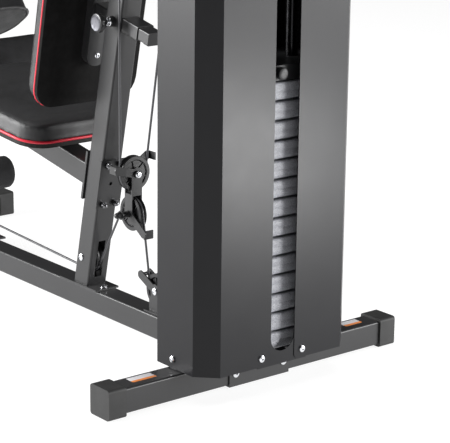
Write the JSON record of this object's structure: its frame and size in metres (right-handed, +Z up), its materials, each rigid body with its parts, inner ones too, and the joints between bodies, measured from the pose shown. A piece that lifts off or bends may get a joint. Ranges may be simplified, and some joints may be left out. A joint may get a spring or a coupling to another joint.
{
  "type": "multi station home gym",
  "caption": "Home gym frame with a shrouded weight stack, pulleys and cables, padded seat and backrest, press arms, lat bar, leg developer and preacher pad.",
  "frame": {"origin": "centre of the footprint of the whole machine, on the floor", "axes": "+Z up; -Y forwards, the way the seated user faces; the weight stack is at +Y"},
  "size_m": [1.0126, 1.448, 2.006],
  "materials": {
    "frame_black": "satin black powder coat",
    "shroud_black": "satin charcoal powder coat on folded sheet",
    "end_cap": "matte textured moulding",
    "rod_black": "polished black oxide",
    "chrome_rod": "polished",
    "chrome_bar": "polished",
    "bumper_rubber": "matte",
    "weight_black": "black vinyl skin with a fine grain",
    "zinc": "bright zinc",
    "nut_black": "black oxide",
    "pulley_nylon": "moulded nylon",
    "cable_coat": "smooth coating on steel wire",
    "grip_rubber": "soft matte",
    "vinyl": "grained vinyl over foam",
    "board": "black stained board and steel straps",
    "foam": "closed cell foam",
    "knob_plastic": "moulded plastic"
  },
  "bodies": {
    "frame": {"rear_foot": "frame_black", "foot_bracket": "frame_black", "base_tube": "frame_black", "front_foot": "frame_black", "end_caps": "end_cap", "upright": "frame_black", "backing_plate": "frame_black", "backrest_sleeve": "frame_black", "seat_post": "frame_black", "front_post": "frame_black", "top_beam": "frame_black", "guide_rods": "rod_black", "rod_plates": "frame_black", "stack_bumpers": "bumper_rubber", "weight_plates": "weight_black", "shroud_left": "shroud_black", "shroud_right": "shroud_black", "shroud_tabs": "shroud_black", "zinc_screws": "zinc", "frame_nuts": "nut_black", "top_brackets": "frame_black", "base_bracket": "frame_black", "high_cable": "cable_coat", "low_cable": "cable_coat", "seat_board": "board", "seat_pad": "vinyl", "roller_tube": "chrome_rod", "foam_rollers": "foam"},
    "stack": {"top_plate": "weight_black", "selector_rod": "rod_black", "stack_cable": "cable_coat"},
    "selector": {"selector_pin": "knob_plastic"},
    "lat": {"lat_bar": "chrome_bar", "lat_grips": "grip_rubber", "lat_cable": "cable_coat"},
    "block": {"block_bracket": "frame_black", "block_cables": "cable_coat"},
    "backrest": {"backrest_frame": "frame_black", "backrest_pad": "vinyl"},
    "backrest_pull": {"backrest_pin": "knob_plastic"},
    "press": {"press_frame": "frame_black", "press_arms": "frame_black", "press_grips": "grip_rubber"},
    "leg": {"leg_lever": "frame_black", "leg_foam": "foam", "leg_cable": "cable_coat"},
    "preacher": {"preacher_frame": "frame_black", "preacher_pad": "vinyl"},
    "preacher_pull": {"preacher_pin": "knob_plastic"},
    "foot_wheel": {"foot_pulley_wheel": "pulley_nylon"},
    "base_wheel": {"base_pulley_wheel": "pulley_nylon"},
    "mid_wheel": {"mid_pulley_wheel": "pulley_nylon"},
    "front_wheel": {"front_pulley_wheel": "pulley_nylon"},
    "top_front": {"top_front_wheel": "pulley_nylon"},
    "top_mid": {"top_mid_wheel": "pulley_nylon"},
    "top_rear": {"top_rear_wheel": "pulley_nylon"},
    "block_upper": {"block_upper_wheel": "pulley_nylon"},
    "block_lower": {"block_lower_wheel": "pulley_nylon"}
  },
  "joints": [
    {"name": "stack_lift", "type": "slide", "parent": "frame", "child": "stack", "axis": [0, 0, 1], "range_m": [0, 0.7], "deforming": ["stack_cable"]},
    {"name": "selector_pin_pull", "type": "slide", "parent": "stack", "child": "selector", "axis": [0, 1, 0], "range_m": [0, 0.09]},
    {"name": "lat_pull", "type": "slide", "parent": "frame", "child": "lat", "axis": [0, 0, -1], "range_m": [0, 0.7], "deforming": ["lat_cable"]},
    {"name": "top_front_spin", "type": "hinge", "parent": "frame", "child": "top_front", "pos_m": [0, -0.175, 1.905], "axis": [1, 0, 0], "continuous": true},
    {"name": "top_mid_spin", "type": "hinge", "parent": "frame", "child": "top_mid", "pos_m": [0.0335, 0.2055, 1.905], "axis": [1, 0, 0], "continuous": true},
    {"name": "top_rear_spin", "type": "hinge", "parent": "frame", "child": "top_rear", "pos_m": [0, 0.5925, 1.905], "axis": [1, 0, 0], "continuous": true},
    {"name": "block_drop", "type": "slide", "parent": "frame", "child": "block", "axis": [0, 0, -1], "range_m": [0, 0.06], "deforming": ["block_cables"]},
    {"name": "block_upper_spin", "type": "hinge", "parent": "block", "child": "block_upper", "pos_m": [0, 0.239, 0.334], "axis": [0, 1, 0], "continuous": true},
    {"name": "block_lower_spin", "type": "hinge", "parent": "block", "child": "block_lower", "pos_m": [0, 0.239, 0.248], "axis": [1, 0, 0], "continuous": true},
    {"name": "press_push", "type": "hinge", "parent": "frame", "child": "press", "pos_m": [0, 0.351, 1.65], "axis": [-1, 0, 0], "range_deg": [0, 30]},
    {"name": "mid_spin", "type": "hinge", "parent": "frame", "child": "mid_wheel", "pos_m": [0, 0.33127, 1.248], "axis": [1, 0, 0], "continuous": true},
    {"name": "base_spin", "type": "hinge", "parent": "frame", "child": "base_wheel", "pos_m": [0, 0.331, 0.102], "axis": [1, 0, 0], "continuous": true},
    {"name": "leg_raise", "type": "hinge", "parent": "frame", "child": "leg", "pos_m": [0, -0.519, 0.425], "axis": [-1, 0, 0], "range_deg": [0, 55], "deforming": ["leg_cable"]},
    {"name": "foot_spin", "type": "hinge", "parent": "frame", "child": "foot_wheel", "pos_m": [0, 0.083, 0.119], "axis": [1, 0, 0], "continuous": true},
    {"name": "front_spin", "type": "hinge", "parent": "frame", "child": "front_wheel", "pos_m": [0, -0.424, 0.142], "axis": [1, 0, 0], "continuous": true},
    {"name": "backrest_slide", "type": "slide", "parent": "frame", "child": "backrest", "axis": [0, -0.9781, 0.2079], "range_m": [-0.02, 0.02]},
    {"name": "backrest_pin_pull", "type": "slide", "parent": "frame", "child": "backrest_pull", "axis": [1, 0, 0], "range_m": [0, 0.012], "stiffness_N_per_m": 400, "springref_m": -0.005},
    {"name": "preacher_slide", "type": "slide", "parent": "frame", "child": "preacher", "axis": [0, 0, 1], "range_m": [0, 0.05]},
    {"name": "preacher_pin_pull", "type": "slide", "parent": "frame", "child": "preacher_pull", "axis": [1, 0, 0], "range_m": [0, 0.012], "stiffness_N_per_m": 400, "springref_m": -0.005}
  ],
  "couplings": [
    {"joint": "lat_pull", "follows": "stack_lift", "ratio": 1},
    {"joint": "top_front_spin", "follows": "stack_lift", "rad_per_m": 29.851},
    {"joint": "top_mid_spin", "follows": "stack_lift", "rad_per_m": 29.851},
    {"joint": "top_rear_spin", "follows": "stack_lift", "rad_per_m": 29.851},
    {"joint": "block_upper_spin", "follows": "stack_lift", "rad_per_m": -29.851},
    {"joint": "block_lower_spin", "follows": "block_drop", "rad_per_m": 29.851},
    {"joint": "mid_spin", "follows": "press_push", "ratio": 11.045},
    {"joint": "base_spin", "follows": "press_push", "ratio": 11.045},
    {"joint": "foot_spin", "follows": "leg_raise", "ratio": -9.4925},
    {"joint": "front_spin", "follows": "leg_raise", "ratio": -9.4925}
  ]
}
